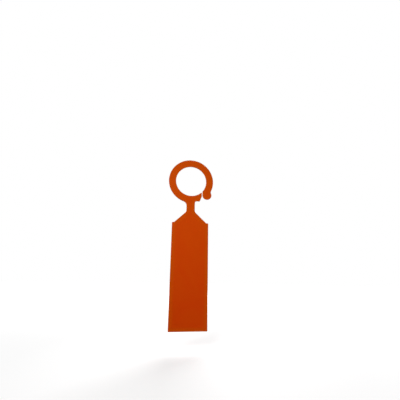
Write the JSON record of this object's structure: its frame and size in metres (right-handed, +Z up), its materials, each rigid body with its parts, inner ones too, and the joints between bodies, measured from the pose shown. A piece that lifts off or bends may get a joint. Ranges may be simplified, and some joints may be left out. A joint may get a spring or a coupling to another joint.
{
  "type": "hanging plant tag",
  "caption": "Blank flat plastic plant tag: a rectangular writing panel with sloped shoulders, a short flexible neck and a split ring with a finger tab that closes round a stem or cane.",
  "frame": {"origin": "centre of the ring's bore, in the middle of the sheet's thickness", "axes": "+Z up the tag from the panel to the ring, +X to the tag's right side as its front is seen, where the slit and the finger tab are, +Y through the thickness from the front face to the back face"},
  "size_m": [0.0328, 0.0008, 0.1191],
  "materials": {
    "tag_plastic": "matt moulded orange polypropylene"
  },
  "bodies": {
    "ring_base": {"ring_saddle": "tag_plastic", "catch_stub": "tag_plastic"},
    "arc_lower_left": {"ring_arc_lower_left": "tag_plastic"},
    "arc_upper_left": {"ring_arc_upper_left": "tag_plastic"},
    "arc_top_left": {"ring_arc_top_left": "tag_plastic"},
    "arc_top_right": {"ring_arc_top_right": "tag_plastic"},
    "latch_arm": {"ring_arm": "tag_plastic", "finger_tab": "tag_plastic"},
    "neck": {"neck_web": "tag_plastic"},
    "panel": {"shoulder": "tag_plastic", "writing_panel": "tag_plastic"}
  },
  "joints": [
    {"name": "ring_bend_low", "type": "hinge", "parent": "ring_base", "child": "arc_lower_left", "pos_m": [-0.00976, 0, -0.00976], "axis": [0.7071, 0, 0.7071], "range_deg": [-14, 14], "stiffness_Nm_per_rad": 0.01},
    {"name": "ring_spread_left", "type": "hinge", "parent": "arc_lower_left", "child": "arc_upper_left", "pos_m": [-0.0164, 0, 0], "axis": [0, -1, 0], "range_deg": [0, 5], "stiffness_Nm_per_rad": 0.02},
    {"name": "ring_twist", "type": "hinge", "parent": "arc_upper_left", "child": "arc_top_left", "pos_m": [-0.00976, 0, 0.00976], "axis": [0.7071, 0, 0.7071], "range_deg": [-21, 21]},
    {"name": "ring_spread_top", "type": "hinge", "parent": "arc_top_left", "child": "arc_top_right", "pos_m": [0, 0, 0.0164], "axis": [0, -1, 0], "range_deg": [0, 5]},
    {"name": "ring_bend_high", "type": "hinge", "parent": "arc_top_right", "child": "latch_arm", "pos_m": [0.00976, 0, 0.00976], "axis": [0.7071, 0, 0.7071], "range_deg": [-14, 14]},
    {"name": "neck_bend", "type": "hinge", "parent": "ring_base", "child": "neck", "pos_m": [0, 0, -0.0193], "axis": [1, 0, 0], "range_deg": [-45, 45], "stiffness_Nm_per_rad": 0.07},
    {"name": "neck_twist", "type": "hinge", "parent": "neck", "child": "panel", "pos_m": [0, 0, -0.0213], "axis": [0, 0, 1], "range_deg": [-30, 30], "stiffness_Nm_per_rad": 0.01}
  ],
  "couplings": [
    {"joint": "ring_twist", "follows": "ring_bend_low", "ratio": 1.5},
    {"joint": "ring_bend_high", "follows": "ring_bend_low", "ratio": 1},
    {"joint": "ring_spread_top", "follows": "ring_spread_left", "ratio": 1}
  ]
}
